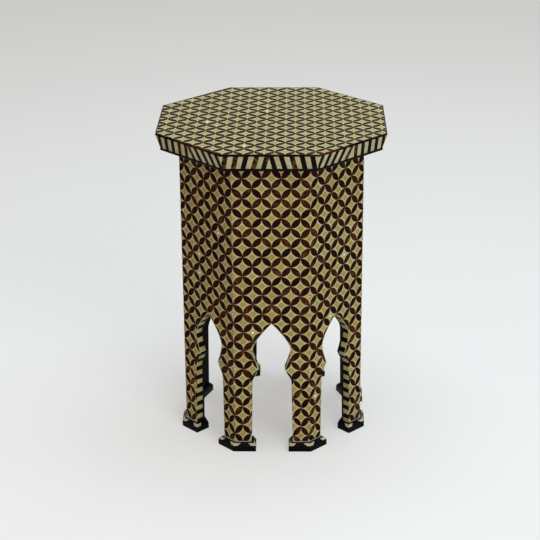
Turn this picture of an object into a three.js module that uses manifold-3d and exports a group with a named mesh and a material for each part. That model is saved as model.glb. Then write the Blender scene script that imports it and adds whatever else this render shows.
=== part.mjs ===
import * as THREE from 'three';
import { mergeVertices } from 'three/addons/utils/BufferGeometryUtils.js';
import Module from 'manifold-3d';

// An octagonal inlaid stool: eight mitred boards, each cut by a keyhole arch, stand on eight
// bent feet and carry a top with a leaning frieze. Millimetres, +Z up, the floor at zero and
// the origin under the middle of the top.

const sideCount = 8;

// Clearances and cutting allowances
const seatGap = 0.3;
const mitreGap = 0.3;
const overrun = 1;

// Top
const totalHeight = 575;
const topAcrossFlats = 400;
const topInlayThickness = 2;
const topBoardThickness = 18;
const edgeStripThickness = 1.5;
const edgeStripHeight = 3.5;

// Frieze below the top's edge
const friezeHeight = 23.5;
const friezeLean = 8;
const friezeLowerThickness = 12;
const beadHeight = 4;
const beadDepth = 13;
const beadNose = 1;

// Body
const bodyAcrossFlats = 322;
const boardThickness = 16;
const faceInlayThickness = 1.5;
const liningThickness = 1.5;
const liningDepth = 11.5;

// Keyhole arch, heights from the floor and half widths from its middle
const archApexHeight = 249.5;
const archBulgeHeight = 197;
const archBulgeHalfWidth = 34;
const archCuspHeight = 161;
const archCuspHalfWidth = 22.7;
const archSpringHeight = 139;
const archSpringHalfWidth = 35;
const archFootHalfWidth = 37;
const archCurveSteps = 6;
const springEaseShare = 0.3;
const cuspRiseShare = 0.75;
const cuspSwellShare = 0.95;
const crownRiseShares = [0.3, 0.72];
const crownWidthShares = [0.99, 0.41];

// Feet
const footHeight = 16;
const footBevelHeight = 6;
const footBevelWidth = 5;
const footOverhang = 8;
const footBackOverhang = 6;
const footBackBevelWidth = 2;
const footEndOverhang = 7.5;
const footSocketDepth = 2;

// Inner rings that hold the eight boards square
const formerHeight = 17;
const formerDepth = 20;
const lowerFormerRise = 14;

// Countersunk screws
const screwSegments = 12;
const screwShankRadius = 1.75;
const screwHeadRadius = 3.6;
const screwHeadHeight = 2.6;
const screwTipHeight = 3;
const screwHeadRecess = 0.6;
const footScrewLength = 34;
const topScrewLength = 28;
const topScrewCount = 4;

// Worked-out sizes
const faceAngle = (2 * Math.PI) / sideCount;
const cornerAngle = faceAngle / 2;
const cornerSlope = Math.tan(cornerAngle);
const topApothem = topAcrossFlats / 2;
const bodyApothem = bodyAcrossFlats / 2;
const boardOuterApothem = bodyApothem - faceInlayThickness - seatGap;
const boardInnerApothem = boardOuterApothem - boardThickness;
const legBottom = footHeight - footSocketDepth + seatGap;
const inlayBottom = totalHeight - topInlayThickness;
const topBoardTop = inlayBottom - seatGap;
const topBoardBottom = topBoardTop - topBoardThickness;
const bodyTop = topBoardBottom - seatGap;
const edgeStripBottom = totalHeight - edgeStripHeight;
const inlayApothem = topApothem - edgeStripThickness - seatGap;
const railTop = edgeStripBottom - seatGap;
const railBottom = railTop - friezeHeight;
const railLowerApothem = topApothem - friezeLean;
const railInnerApothem = railLowerApothem - friezeLowerThickness;
const beadTop = railBottom - seatGap;
const formerApothem = boardInnerApothem - seatGap;
const legMiddle = (bodyApothem * cornerSlope + archFootHalfWidth) / 2;
const legBackDistance = boardInnerApothem * Math.cos(cornerAngle) + archFootHalfWidth * Math.sin(cornerAngle);

const colours = {
	tortoiseshell: { color: 0x3a1810, roughness: 0.3, metalness: 0 },
	bone: { color: 0xc6bc84, roughness: 0.35, metalness: 0 },
	boardWood: { color: 0x8a6a44, roughness: 0.7, metalness: 0 },
	blackPaint: { color: 0x16130f, roughness: 0.6, metalness: 0 },
	blackLacquer: { color: 0x120f0e, roughness: 0.3, metalness: 0 },
	steel: { color: 0x9a9a98, roughness: 0.4, metalness: 1 },
};

const wasm = await Module();
wasm.setup();

function toSolid( geometry ) {

	geometry.deleteAttribute( 'normal' );
	geometry.deleteAttribute( 'uv' );
	const merged = mergeVertices( geometry );
	return new wasm.Manifold( new wasm.Mesh( {
		numProp: 3,
		vertProperties: new Float32Array( merged.attributes.position.array ),
		triVerts: new Uint32Array( merged.index.array ),
	} ) );

}

function toGeometry( solid ) {

	const mesh = solid.getMesh();
	const geometry = new THREE.BufferGeometry();
	geometry.setAttribute( 'position', new THREE.BufferAttribute( mesh.vertProperties, 3 ) );
	geometry.setIndex( new THREE.BufferAttribute( mesh.triVerts, 1 ) );
	geometry.computeVertexNormals();
	return geometry;

}

const xAxis = new THREE.Vector3( 1, 0, 0 );
const yAxis = new THREE.Vector3( 0, 1, 0 );
const zAxis = new THREE.Vector3( 0, 0, 1 );
const planAxes = new THREE.Matrix4();
const faceAxes = new THREE.Matrix4().makeBasis( xAxis, zAxis, yAxis.clone().negate() );
const sectionAxes = new THREE.Matrix4().makeBasis( yAxis, zAxis, xAxis );

// A straight prism over an outline, drawn in the two axes that come first in the given set
function prism( points, axes, from, to ) {

	const shape = new THREE.Shape( points );
	const geometry = new THREE.ExtrudeGeometry( shape, { depth: to - from, bevelEnabled: false } );
	geometry.translate( 0, 0, from );
	geometry.applyMatrix4( axes );
	return toSolid( geometry );

}

function octagon( apothem, bottom, top ) {

	const radius = apothem / Math.cos( cornerAngle );
	const height = top - bottom;
	const geometry = new THREE.CylinderGeometry( radius, radius, height, sideCount, 1, false, cornerAngle );
	geometry.rotateX( Math.PI / 2 );
	geometry.translate( 0, 0, bottom + height / 2 );
	return geometry;

}

// An octagonal ring; its section is a closed list of apothem and height
function octagonRing( section ) {

	const corners = section.map( ( [ apothem, height ] ) =>
		new THREE.Vector2( apothem / Math.cos( cornerAngle ), height ) );
	corners.push( corners[ 0 ].clone() );
	const geometry = new THREE.LatheGeometry( corners, sideCount, cornerAngle );
	geometry.rotateX( Math.PI / 2 );
	return geometry;

}

// Stands a round profile of radius and height pairs upright at a place
function turned( profile, x, y, z ) {

	const points = profile.map( ( [ radius, height ] ) => new THREE.Vector2( radius, height ) );
	const geometry = new THREE.LatheGeometry( points, screwSegments );
	geometry.rotateX( Math.PI / 2 );
	geometry.translate( x, y, z );
	return geometry;

}

// What lies between two mitres, behind an outer face at y = 0 with the given apothem
function mitreWedge( apothem, depth, bottom, top ) {

	const halfWidth = ( y ) => ( apothem - y ) * cornerSlope - mitreGap / 2 / Math.cos( cornerAngle );
	const front = - overrun;
	const back = depth + overrun;
	const points = [
		new THREE.Vector2( - halfWidth( front ), front ),
		new THREE.Vector2( halfWidth( front ), front ),
		new THREE.Vector2( halfWidth( back ), back ),
		new THREE.Vector2( - halfWidth( back ), back ),
	];
	return prism( points, planAxes, bottom - overrun, top + overrun );

}

// The arch from the right leg's end over the apex to the left leg's end
function archOutline() {

	const path = new THREE.Path();
	const springDrop = archSpringHeight - legBottom;
	const cuspDepth = archSpringHalfWidth - archCuspHalfWidth;
	const cuspRise = archCuspHeight - archSpringHeight;
	const bulgeRise = archBulgeHeight - archCuspHeight;
	const bulgeDepth = archBulgeHalfWidth - archCuspHalfWidth;
	const crownRise = archApexHeight - archBulgeHeight;
	path.moveTo( archFootHalfWidth, legBottom );
	path.lineTo(
		archSpringHalfWidth + ( archFootHalfWidth - archSpringHalfWidth ) * cuspRise * springEaseShare / springDrop,
		archSpringHeight - cuspRise * springEaseShare );
	path.quadraticCurveTo(
		archSpringHalfWidth, archSpringHeight,
		archSpringHalfWidth - cuspDepth * springEaseShare, archSpringHeight + cuspRise * springEaseShare );
	path.lineTo( archCuspHalfWidth, archCuspHeight );
	path.quadraticCurveTo(
		archCuspHalfWidth + bulgeDepth * cuspSwellShare, archCuspHeight + bulgeRise * cuspRiseShare,
		archBulgeHalfWidth, archBulgeHeight );
	path.bezierCurveTo(
		archBulgeHalfWidth * crownWidthShares[ 0 ], archBulgeHeight + crownRise * crownRiseShares[ 0 ],
		archBulgeHalfWidth * crownWidthShares[ 1 ], archBulgeHeight + crownRise * crownRiseShares[ 1 ],
		0, archApexHeight );
	const right = path.getPoints( archCurveSteps );
	const left = right.slice( 0, - 1 ).reverse().map( ( point ) => new THREE.Vector2( - point.x, point.y ) );
	return [ ...right, ...left ];

}

// The same open outline, moved into the wood by a distance; its two ends stay at the leg's end
function widened( outline, distance ) {

	const last = outline.length - 1;
	return outline.map( ( point, index ) => {

		const before = outline[ Math.max( index - 1, 0 ) ];
		const after = outline[ Math.min( index + 1, last ) ];
		const incoming = index > 0 ? point.clone().sub( before ) : after.clone().sub( point );
		const outgoing = index < last ? after.clone().sub( point ) : incoming.clone();
		const side = incoming.normalize().add( outgoing.normalize() ).normalize();
		const reach = distance / side.dot( outgoing );
		const moved = new THREE.Vector2( point.x + side.y * reach, point.y - side.x * reach );
		moved.y = index === 0 || index === last ? point.y : moved.y;
		return moved;

	} );

}

const openingOutline = archOutline();
const boardOpening = widened( openingOutline, liningThickness + seatGap );
const liningOpening = widened( openingOutline, liningThickness );

// A board as wide as its face, with the opening cut up from between its legs
function archedBoard( opening, apothem, thickness ) {

	const halfWidth = apothem * cornerSlope + overrun;
	const outline = [
		new THREE.Vector2( - halfWidth, legBottom ),
		...opening.slice().reverse(),
		new THREE.Vector2( halfWidth, legBottom ),
		new THREE.Vector2( halfWidth, bodyTop ),
		new THREE.Vector2( - halfWidth, bodyTop ),
	];
	const board = prism( outline, faceAxes, - thickness, 0 );
	return board.intersect( mitreWedge( apothem, thickness, legBottom, bodyTop ) );

}

function screwProfile( length ) {

	return [
		[ 0, 0 ],
		[ screwHeadRadius, 0 ],
		[ screwShankRadius, screwHeadHeight ],
		[ screwShankRadius, length - screwTipHeight ],
		[ 0, length ],
	];

}

function screwHoleProfile( length ) {

	const headRadius = screwHeadRadius + seatGap;
	const shankRadius = screwShankRadius + seatGap;
	return [
		[ 0, - screwHeadRecess - overrun ],
		[ headRadius, - screwHeadRecess - overrun ],
		[ headRadius, seatGap ],
		[ shankRadius, screwHeadHeight + seatGap ],
		[ shankRadius, length + seatGap ],
		[ 0, length + seatGap ],
	];

}

// A point on one of the two wings that meet at a corner of the octagon, seen from above
function wingPoint( fromMiddle, apothem, side ) {

	const point = new THREE.Vector2( - side * fromMiddle, - apothem );
	return point.rotateAround( new THREE.Vector2(), side * cornerAngle );

}

// The two legs of a corner seen from above, bent alike inside and outside
function legOutline( outerApothem, innerApothem, endHalfWidth ) {

	return [
		wingPoint( endHalfWidth, outerApothem, - 1 ),
		new THREE.Vector2( 0, - outerApothem / Math.cos( cornerAngle ) ),
		wingPoint( endHalfWidth, outerApothem, 1 ),
		wingPoint( endHalfWidth, innerApothem, 1 ),
		new THREE.Vector2( 0, - innerApothem / Math.cos( cornerAngle ) ),
		wingPoint( endHalfWidth, innerApothem, - 1 ),
	];

}

// A foot seen from above: its back is one straight cut, so far from the stool's axis
function footOutline( outerApothem, backDistance, endHalfWidth ) {

	const endApothem = ( backDistance - endHalfWidth * Math.sin( cornerAngle ) ) / Math.cos( cornerAngle );
	return [
		wingPoint( endHalfWidth, outerApothem, - 1 ),
		new THREE.Vector2( 0, - outerApothem / Math.cos( cornerAngle ) ),
		wingPoint( endHalfWidth, outerApothem, 1 ),
		wingPoint( endHalfWidth, endApothem, 1 ),
		wingPoint( endHalfWidth, endApothem, - 1 ),
	];

}

// A closed skin through outlines of as many points at rising heights
function loft( rings ) {

	const count = rings[ 0 ].points.length;
	const positions = rings.flatMap( ( ring ) => ring.points.flatMap( ( point ) => [ point.x, point.y, ring.height ] ) );
	const index = [];
	for ( let level = 0; level < rings.length - 1; level ++ ) {

		for ( let i = 0; i < count; i ++ ) {

			const a = level * count + i;
			const b = level * count + ( i + 1 ) % count;
			index.push( a, b, b + count, a, b + count, a + count );

		}

	}

	const topStart = ( rings.length - 1 ) * count;
	for ( const [ a, b, c ] of THREE.ShapeUtils.triangulateShape( rings[ 0 ].points, [] ) ) {

		index.push( a, c, b );
		index.push( topStart + a, topStart + b, topStart + c );

	}

	const geometry = new THREE.BufferGeometry();
	geometry.setAttribute( 'position', new THREE.Float32BufferAttribute( positions, 3 ) );
	geometry.setIndex( index );
	return toSolid( geometry );

}

function footBlock() {

	const outerApothem = bodyApothem + footOverhang;
	const backDistance = legBackDistance - footBackOverhang;
	const endHalfWidth = archFootHalfWidth - footEndOverhang;
	const sole = footOutline( outerApothem, backDistance, endHalfWidth );
	const crown = footOutline(
		outerApothem - footBevelWidth, backDistance + footBackBevelWidth, endHalfWidth + footBevelWidth );
	const socket = legOutline(
		bodyApothem + seatGap, boardInnerApothem - seatGap, archFootHalfWidth - seatGap );
	const block = loft( [
		{ points: sole, height: 0 },
		{ points: sole, height: footHeight - footBevelHeight },
		{ points: crown, height: footHeight },
	] );
	return block
		.subtract( prism( socket, planAxes, footHeight - footSocketDepth, footHeight + overrun ) )
		.subtract( toSolid( turned( screwHoleProfile( footScrewLength ), ...footScrewPlace() ) ) );

}

// The foot's screw goes up into the leg of the board on the foot's left, seen from outside
function footScrewPlace() {

	const middleApothem = ( boardOuterApothem + boardInnerApothem ) / 2;
	const place = new THREE.Vector2( legMiddle, - middleApothem ).rotateAround( new THREE.Vector2(), - cornerAngle );
	return [ place.x, place.y, screwHeadRecess ];

}

// Behind the lining the board comes out flush with it again
function sidePanel() {

	const liningBed = [
		new THREE.Vector2( boardOpening[ 0 ].x, legBottom - overrun ),
		...boardOpening,
		new THREE.Vector2( - boardOpening[ 0 ].x, legBottom - overrun ),
	];
	const board = archedBoard( openingOutline, boardOuterApothem, boardThickness )
		.subtract( prism( liningBed, faceAxes, - liningDepth - seatGap, overrun ) );
	const hole = turned( screwHoleProfile( footScrewLength ), legMiddle, boardThickness / 2, screwHeadRecess );
	return board.subtract( toSolid( hole ) );

}

function archLining() {

	const band = [ ...liningOpening, ...openingOutline.slice().reverse() ];
	return prism( band, faceAxes, - liningDepth, 0 );

}

// The rail's outer face leans in towards its foot, and its top edge is rebated for the edge strip
function friezeRail() {

	const section = [
		[ friezeLean, railBottom ],
		[ friezeLean + friezeLowerThickness, railBottom ],
		[ friezeLean + friezeLowerThickness, topBoardTop ],
		[ topApothem - inlayApothem, topBoardTop ],
		[ topApothem - inlayApothem, railTop ],
		[ 0, railTop ],
	].map( ( [ y, z ] ) => new THREE.Vector2( y, z ) );
	const halfLength = topApothem * cornerSlope + overrun;
	const rail = prism( section, sectionAxes, - halfLength, halfLength );
	return rail.intersect( mitreWedge( topApothem, friezeLean + friezeLowerThickness, railBottom, topBoardTop ) );

}

function friezeBead() {

	const outerApothem = railLowerApothem;
	return octagonRing( [
		[ outerApothem - beadDepth, beadTop - beadHeight ],
		[ outerApothem, beadTop - beadHeight ],
		[ outerApothem + beadNose, beadTop - beadHeight / 2 ],
		[ outerApothem, beadTop ],
		[ outerApothem - beadDepth, beadTop ],
	] );

}

function topEdgeStrip() {

	const innerApothem = topApothem - edgeStripThickness;
	return octagonRing( [
		[ innerApothem, edgeStripBottom ],
		[ topApothem, edgeStripBottom ],
		[ topApothem, totalHeight ],
		[ innerApothem, totalHeight ],
	] );

}

function formerRing( bottom ) {

	return octagonRing( [
		[ formerApothem - formerDepth, bottom ],
		[ formerApothem, bottom ],
		[ formerApothem, bottom + formerHeight ],
		[ formerApothem - formerDepth, bottom + formerHeight ],
	] );

}

const upperFormerBottom = bodyTop - formerHeight;
const lowerFormerBottom = archApexHeight + lowerFormerRise;

// The screws through the upper former stand at every other face
function topScrewPlaces() {

	const apothem = formerApothem - formerDepth / 2;
	return Array.from( { length: topScrewCount }, ( unused, index ) => {

		const angle = index * ( 2 * Math.PI ) / topScrewCount;
		return [ apothem * Math.sin( angle ), - apothem * Math.cos( angle ), upperFormerBottom + screwHeadRecess ];

	} );

}

function drilledForTopScrews( solid ) {

	return topScrewPlaces().reduce(
		( drilled, place ) => drilled.subtract( toSolid( turned( screwHoleProfile( topScrewLength ), ...place ) ) ),
		solid );

}

function piece( name, geometry, finish ) {

	const mesh = new THREE.Mesh( geometry, new THREE.MeshStandardMaterial( finish ) );
	mesh.name = name;
	return mesh;

}

const stool = new THREE.Group();
stool.name = 'stool';

const top = new THREE.Group();
const topBoard = toSolid( octagon( railInnerApothem - seatGap, topBoardBottom, topBoardTop ) );
top.add( piece( 'top_board', toGeometry( drilledForTopScrews( topBoard ) ), colours.boardWood ) );
top.add( piece( 'top_inlay', octagon( inlayApothem, inlayBottom, totalHeight ), colours.bone ) );
top.add( piece( 'top_edge_strip', topEdgeStrip(), colours.tortoiseshell ) );
top.add( piece( 'frieze_bead', friezeBead(), colours.blackLacquer ) );
stool.add( top );

const formers = new THREE.Group();
const upperFormer = toSolid( formerRing( upperFormerBottom ) );
formers.add( piece( 'upper_former', toGeometry( drilledForTopScrews( upperFormer ) ), colours.boardWood ) );
formers.add( piece( 'lower_former', formerRing( lowerFormerBottom ), colours.boardWood ) );
topScrewPlaces().forEach( ( [ x, y, z ], index ) => {

	const screw = piece( `top_screw_${ index + 1 }`, turned( screwProfile( topScrewLength ), 0, 0, 0 ), colours.steel );
	screw.position.set( x, y, z );
	formers.add( screw );

} );
stool.add( formers );

// Face 1 is the front one, and the rest follow to its right
const railGeometry = toGeometry( friezeRail() );
const panelGeometry = toGeometry( sidePanel() );
const skinGeometry = toGeometry( archedBoard( openingOutline, bodyApothem, faceInlayThickness ) );
const liningGeometry = toGeometry( archLining() );
const footGeometry = toGeometry( footBlock() );

for ( let side = 0; side < sideCount; side ++ ) {

	const number = side + 1;

	const face = new THREE.Group();
	face.rotation.z = side * faceAngle;
	const rail = piece( `frieze_rail_${ number }`, railGeometry, colours.bone );
	rail.position.y = - topApothem;
	const panel = piece( `side_panel_${ number }`, panelGeometry, colours.blackPaint );
	panel.position.y = - boardOuterApothem;
	const skin = piece( `face_inlay_${ number }`, skinGeometry, colours.bone );
	skin.position.y = - bodyApothem;
	const lining = piece( `arch_lining_${ number }`, liningGeometry, colours.tortoiseshell );
	lining.position.y = - boardOuterApothem;
	face.add( rail, panel, skin, lining );
	stool.add( face );

	const corner = new THREE.Group();
	corner.rotation.z = side * faceAngle + cornerAngle;
	const foot = piece( `foot_${ number }`, footGeometry, colours.blackLacquer );
	const screw = piece( `foot_screw_${ number }`, turned( screwProfile( footScrewLength ), 0, 0, 0 ), colours.steel );
	screw.position.set( ...footScrewPlace() );
	corner.add( foot, screw );
	stool.add( corner );

}

export default stool;
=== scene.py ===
import math
import random

import bmesh
import bpy
from mathutils import Matrix, Vector


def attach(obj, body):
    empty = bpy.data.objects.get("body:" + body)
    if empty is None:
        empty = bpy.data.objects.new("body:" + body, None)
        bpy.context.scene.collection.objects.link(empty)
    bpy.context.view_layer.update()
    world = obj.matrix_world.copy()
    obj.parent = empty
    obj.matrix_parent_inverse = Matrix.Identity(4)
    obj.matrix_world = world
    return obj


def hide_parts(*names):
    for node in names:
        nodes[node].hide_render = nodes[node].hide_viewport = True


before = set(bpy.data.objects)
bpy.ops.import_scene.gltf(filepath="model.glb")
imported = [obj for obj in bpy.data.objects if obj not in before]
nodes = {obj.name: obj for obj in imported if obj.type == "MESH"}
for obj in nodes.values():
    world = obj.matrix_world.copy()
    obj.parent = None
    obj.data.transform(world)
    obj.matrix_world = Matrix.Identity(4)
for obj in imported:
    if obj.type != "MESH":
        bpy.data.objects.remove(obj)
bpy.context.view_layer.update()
mm = 0.001
print("frame loaded, nodes:", len(nodes))

# Sizes that several pieces share, in millimetres from the floor or from the stool's axis
stool = {
    "sides": 8,
    "topHeight": 575.0,
    "topInlayApothem": 198.2,
    "topInlayBottom": 573.0,
    "bodyApothem": 161.0,
    "bodyTop": 554.4,
    "legBottom": 14.3,
    "sheetThickness": 1.5,
    "liningThickness": 1.5,
}
sideAngle = 2 * math.pi / stool["sides"]
cornerSlope = math.tan(sideAngle / 2)


# Small tools

def linearColour(code):
    # an sRGB code such as "#AEA56F" as linear red, green, blue and alpha
    channels = [int(code[i:i + 2], 16) / 255 for i in (1, 3, 5)]
    return [c / 12.92 if c <= 0.04045 else ((c + 0.055) / 1.055) ** 2.4 for c in channels] + [1.0]


def findSocket(sockets, name):
    # a socket by its number, its identifier or its name
    if isinstance(name, int):
        return sockets[name]
    for socket in sockets:
        if socket.identifier == name:
            return socket
    return sockets[name]


def addNode(tree, kind, links=None, **settings):
    # a node with its settings, each input linked to a socket or given a value
    node = tree.nodes.new(kind)
    for name, value in settings.items():
        setattr(node, name, value)
    for name, value in (links or {}).items():
        socket = findSocket(node.inputs, name)
        if isinstance(value, bpy.types.NodeSocket):
            tree.links.new(value, socket)
        else:
            socket.default_value = value
    return node


def fillRamp(node, stops):
    elements = node.color_ramp.elements
    while len(elements) > 1:
        elements.remove(elements[-1])
    for index, (place, code) in enumerate(stops):
        element = elements[0] if index == 0 else elements.new(place)
        element.position = place
        element.color = linearColour(code)


def sideTurn(side):
    return Matrix.Rotation(side * sideAngle, 4, "Z")


def axesMatrix(axes, origin):
    # a place whose own x, y and z run along the three axes
    matrix = Matrix.Translation(origin)
    for row in range(3):
        for column, axis in enumerate(axes):
            matrix[row][column] = axis[row]
    return matrix


def faceMatrix(side):
    # across, up and outwards of a side of the body
    onFace = (0, -stool["bodyApothem"] * mm, 0)
    return sideTurn(side) @ axesMatrix(((1, 0, 0), (0, 0, 1), (0, -1, 0)), onFace)


def inset(outline, distance):
    # the outline moved inwards; a very sharp corner moves no further than leastCosine lets it
    leastCosine = 0.3
    count = len(outline)
    moved = []
    for i in range(count):
        before, here, after = (Vector(outline[(i + k) % count]) for k in (-1, 0, 1))
        incoming, outgoing = (here - before).normalized(), (after - here).normalized()
        side = (incoming + outgoing).normalized()
        reach = distance / max(side.dot(outgoing), leastCosine)
        moved.append((here.x - side.y * reach, here.y + side.x * reach))
    return moved


def joinRings(mesh, rings):
    # walls between closed rings of vertices, and a face over each end
    for low, high in zip(rings, rings[1:]):
        for i in range(len(low)):
            j = (i + 1) % len(low)
            mesh.faces.new((low[i], low[j], high[j], high[i]))
    mesh.faces.new(rings[0][::-1])
    mesh.faces.new(rings[-1])


def addTile(mesh, outline, top, depth, chamfer):
    # a closed slab over an anticlockwise outline, its upper rim chamfered
    levels = [(outline, top - depth), (outline, top - chamfer), (inset(outline, chamfer), top)]
    if not chamfer:
        levels = [(outline, top - depth), (outline, top)]
    joinRings(mesh, [[mesh.verts.new((x * mm, y * mm, z * mm)) for x, y in points] for points, z in levels])


def newObject(name, data):
    piece = bpy.data.objects.new(name, data)
    bpy.context.scene.collection.objects.link(piece)
    return piece


def finishMesh(mesh, name, *materials):
    data = bpy.data.meshes.new(name)
    mesh.to_mesh(data)
    mesh.free()
    for material in materials:
        data.materials.append(material)
    return newObject(name, data)


def placePiece(piece, matrix):
    # the place goes into the mesh, so the object itself stays at the origin
    piece.data.transform(matrix)
    piece.data.update()
    return piece


def slabBetween(name, outline, low, high, taper, *materials):
    # a prism over an outline; taper draws the sides in with depth, as a mitre does
    mesh = bmesh.new()
    rings = []
    for level in (low, high):
        rings.append([mesh.verts.new(((x + math.copysign(level * taper, x)) * mm, y * mm, level * mm))
                      for x, y in outline])
    joinRings(mesh, rings)
    return finishMesh(mesh, name, *materials)


def keepOnSide(outline, normal, reach):
    # the part of a convex outline that lies less than reach along the normal
    kept = []
    for i, here in enumerate(outline):
        after = outline[(i + 1) % len(outline)]
        past, pastNext = (normal[0] * x + normal[1] * y - reach for x, y in (here, after))
        if past <= 0:
            kept.append(here)
        if (past < 0 < pastNext) or (pastNext < 0 < past):
            share = past / (past - pastNext)
            kept.append((here[0] + (after[0] - here[0]) * share, here[1] + (after[1] - here[1]) * share))
    return kept


def arcBetween(centre, radius, start, end, steps):
    return [(centre[0] + radius * math.cos(start + (end - start) * k / steps),
             centre[1] + radius * math.sin(start + (end - start) * k / steps)) for k in range(steps + 1)]


def ridePiece(piece, slotName, *replaced):
    # every piece goes with the stool's one body, and some stand for CAD nodes
    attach(piece, "root")
    if replaced:
        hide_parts(*replaced)


# Materials

def newMaterial(name, **values):
    # uniform values stand on the shader's own sockets
    material = bpy.data.materials.new(name)
    material.use_nodes = True
    tree = material.node_tree
    shader = tree.nodes["Principled BSDF"]
    for socket, value in values.items():
        shader.inputs[socket.replace("_", " ")].default_value = value
    return material, tree, shader


def feedShader(tree, shader, **sources):
    for socket, source in sources.items():
        tree.links.new(source, shader.inputs[socket.replace("_", " ")])


def tileCoordinates(tree, spread):
    # object coordinates, moved by each tile's own number so that neighbours differ
    place = addNode(tree, "ShaderNodeTexCoord").outputs["Object"]
    tint = addNode(tree, "ShaderNodeAttribute", attribute_name="tint")
    shift = addNode(tree, "ShaderNodeVectorMath", {0: tint.outputs["Fac"], 1: (spread, -spread, spread)},
                    operation="MULTIPLY")
    moved = addNode(tree, "ShaderNodeVectorMath", {0: place, 1: shift.outputs[0]}, operation="ADD")
    return moved.outputs[0], tint.outputs["Fac"]


def polishedBone(name, **colours):
    # sawn cattle bone, dyed by age and rubbed with oil: ivory yellow, faint streaks and pores, soft gloss;
    # its real pores are finer, and these are as coarse as they need to be to show
    look = {"mottleMm": 9, "streakMm": 0.7, "streakRun": 0.12, "streaking": 0.35, "tinting": 0.22,
            "poreMm": 0.5, "poreDepthMm": 0.03, "poring": 0.4, "tileShift": 0.7, **colours}
    material, tree, shader = newMaterial(name, Roughness=0.38, IOR=1.4, Specular_IOR_Level=0.4)
    place, tint = tileCoordinates(tree, look["tileShift"])
    mottle = addNode(tree, "ShaderNodeTexNoise",
                     {"Vector": place, "Scale": 1 / (look["mottleMm"] * mm), "Detail": 3.0})
    stretched = addNode(tree, "ShaderNodeVectorMath", {0: place, 1: (1, 1, look["streakRun"])},
                        operation="MULTIPLY")
    streak = addNode(tree, "ShaderNodeTexNoise",
                     {"Vector": stretched.outputs[0], "Scale": 1 / (look["streakMm"] * mm), "Detail": 2.0})
    blend = addNode(tree, "ShaderNodeMath",
                    {0: streak.outputs["Fac"], 1: look["streaking"], 2: mottle.outputs["Fac"]},
                    operation="MULTIPLY_ADD")
    toned = addNode(tree, "ShaderNodeMath", {0: tint, 1: look["tinting"], 2: blend.outputs[0]},
                    operation="MULTIPLY_ADD")
    ramp = addNode(tree, "ShaderNodeValToRGB", {"Fac": toned.outputs[0]})
    fillRamp(ramp, [(0.5, look["light"]), (0.8, look["middle"]), (1.0, look["dark"])])
    pore = addNode(tree, "ShaderNodeTexNoise",
                   {"Vector": place, "Scale": 1 / (look["poreMm"] * mm), "Detail": 1.0})
    bump = addNode(tree, "ShaderNodeBump", {"Height": pore.outputs["Fac"], "Strength": look["poring"],
                                            "Distance": look["poreDepthMm"] * mm})
    feedShader(tree, shader, Base_Color=ramp.outputs[0], Normal=bump.outputs[0])
    return material


def cutNacre():
    # diamonds sawn from mother of pearl: olive, gold, rose and green from one to the next, a painted
    # highlight that makes the middle paler and greyer, and on a few a painted white glint there; the sheen
    # heart and glint spot are shares of the way from the rim to the middle
    # the grey keyed middle is the painted highlight's colour, and the near-white is the painted glint's
    look = {"bandMm": 6, "banding": 0.3, "tileShift": 0.9, "sheenHeart": (0.2, 0.9), "paintedSheen": 0.55,
            "glintTintFrom": 0.97, "glintSpot": (0.45, 0.7), "middle": "#998F60", "paintedGlint": "#E4E1D6",
            "tints": ((0.0, "#817439"), (0.2, "#857941"), (0.38, "#89732E"), (0.5, "#817943"),
                      (0.7, "#8A7B49"), (0.85, "#817D4B"), (1.0, "#938954"))}
    material, tree, shader = newMaterial("cutMotherOfPearl", Roughness=0.24, IOR=1.5, Specular_IOR_Level=0.12)
    place, tint = tileCoordinates(tree, look["tileShift"])
    middle = addNode(tree, "ShaderNodeAttribute", attribute_name="middle")
    cloud = addNode(tree, "ShaderNodeTexNoise",
                    {"Vector": place, "Scale": 1 / (look["bandMm"] * mm), "Detail": 2.0, "Distortion": 1.2})
    blend = addNode(tree, "ShaderNodeMath",
                    {0: cloud.outputs["Fac"], 1: look["banding"], 2: -look["banding"] / 2},
                    operation="MULTIPLY_ADD")
    toned = addNode(tree, "ShaderNodeMath", {0: tint, 1: blend.outputs[0]}, operation="ADD")
    ramp = addNode(tree, "ShaderNodeValToRGB", {"Fac": toned.outputs[0]})
    fillRamp(ramp, look["tints"])
    # painted highlight: each diamond's middle is mixed towards a paler grey
    sheenHeart = addNode(tree, "ShaderNodeMapRange", {"Value": middle.outputs["Fac"], "From Min": look["sheenHeart"][0],
                                                 "From Max": look["sheenHeart"][1], "To Max": look["paintedSheen"]})
    withPaintedSheen = addNode(tree, "ShaderNodeMix", {"Factor_Float": sheenHeart.outputs[0], "A_Color": ramp.outputs[0],
                                            "B_Color": linearColour(look["middle"])}, data_type="RGBA")
    # painted glint: a few diamonds, picked by their tint, get a white spot in the middle
    glintTile = addNode(tree, "ShaderNodeMath", {0: tint, 1: look["glintTintFrom"]}, operation="GREATER_THAN")
    glintSpot = addNode(tree, "ShaderNodeMapRange", {"Value": middle.outputs["Fac"], "From Min": look["glintSpot"][0],
                                                "From Max": look["glintSpot"][1]})
    paintedGlint = addNode(tree, "ShaderNodeMath", {0: glintTile.outputs[0], 1: glintSpot.outputs[0]}, operation="MULTIPLY")
    withPaintedGlint = addNode(tree, "ShaderNodeMix", {"Factor_Float": paintedGlint.outputs[0], "A_Color": withPaintedSheen.outputs[2],
                                              "B_Color": linearColour(look["paintedGlint"])}, data_type="RGBA")
    feedShader(tree, shader, Base_Color=withPaintedGlint.outputs[2])
    return material


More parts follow.
